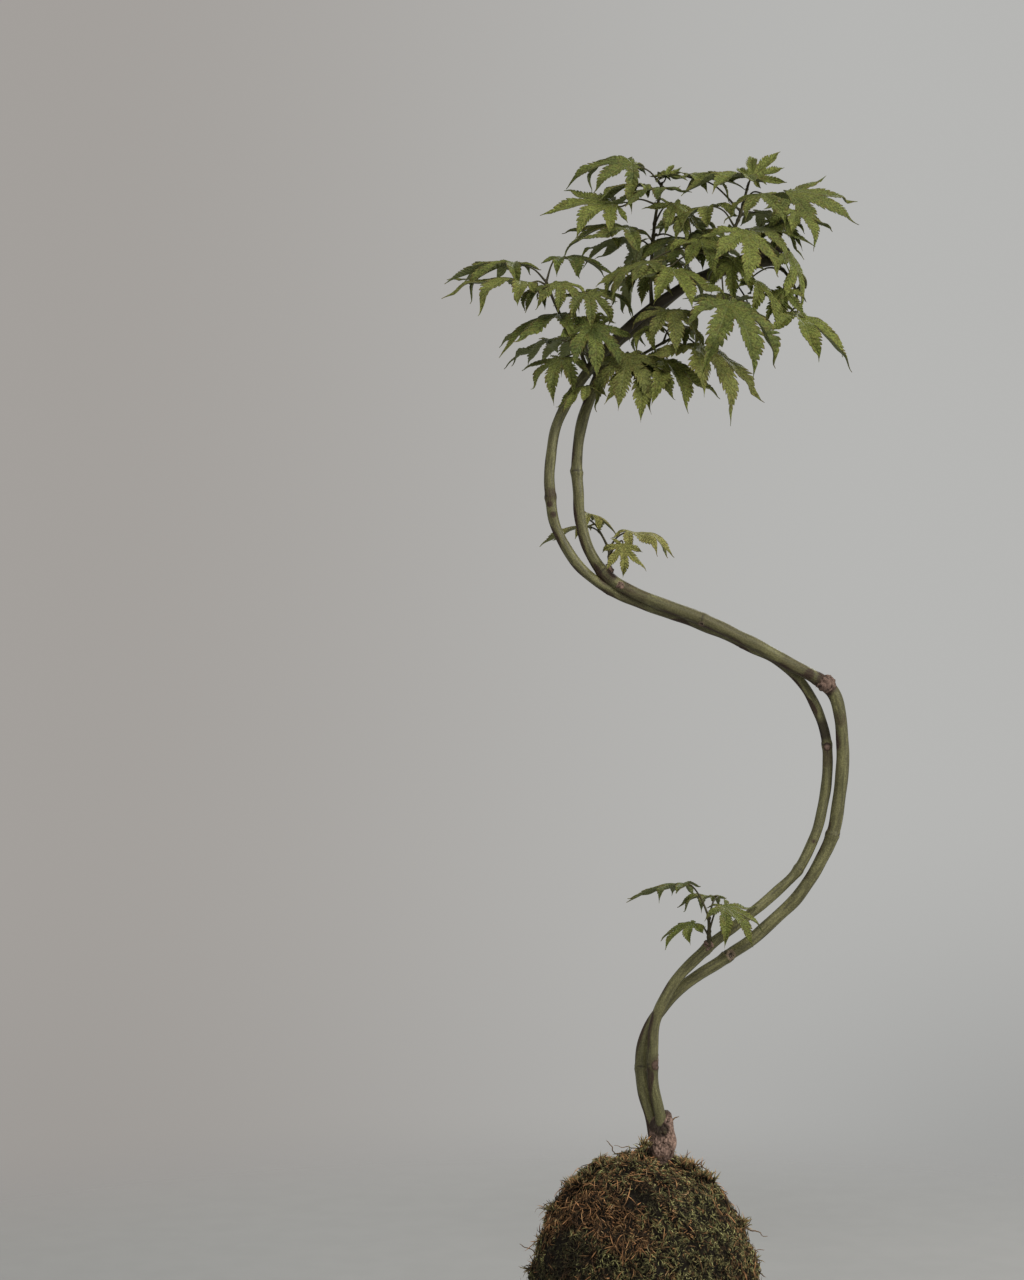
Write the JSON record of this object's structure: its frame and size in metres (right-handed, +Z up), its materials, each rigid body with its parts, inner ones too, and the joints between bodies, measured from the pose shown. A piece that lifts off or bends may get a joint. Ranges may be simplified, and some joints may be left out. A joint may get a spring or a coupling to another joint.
{
  "type": "kokedama moss ball plant",
  "caption": "Moss-wrapped soil ball with a slender maple trained in an S: paired green stems twist upward to a drooping crown of cut, toothed leaves.",
  "frame": {"origin": "middle of the flat spot under the moss ball, on the surface that it rests on", "axes": "+Z up along the plant's height; +X to the right seen from the front, the side that the lower bend of the stems leans to; +Y towards the back"},
  "size_m": [0.1996, 0.1276, 0.5946],
  "materials": {
    "moss": "dark green moss sprigs with patches of dry orange-brown fibre, fully matt",
    "soil": "damp dark brown potting clay, matt",
    "bark": "smooth olive green young bark with brown streaks and dark leaf-scar rings, slight sheen, pink-brown wrinkled at the collar",
    "leaf": "thin olive to yellow-green blade, soft sheen, paler underside, brown-tinged edges"
  },
  "bodies": {
    "root": {"moss_skin": "moss", "soil_core": "soil", "woody_plant": "bark", "low_shoot": "leaf", "middle_shoot": "leaf", "left_spray": "leaf", "lower_left_spray": "leaf", "lower_spray": "leaf", "front_spray": "leaf", "centre_spray": "leaf", "top_right_spray": "leaf", "right_spray": "leaf", "hanging_spray": "leaf", "back_spray": "leaf", "back_left_spray": "leaf"}
  },
  "joints": []
}
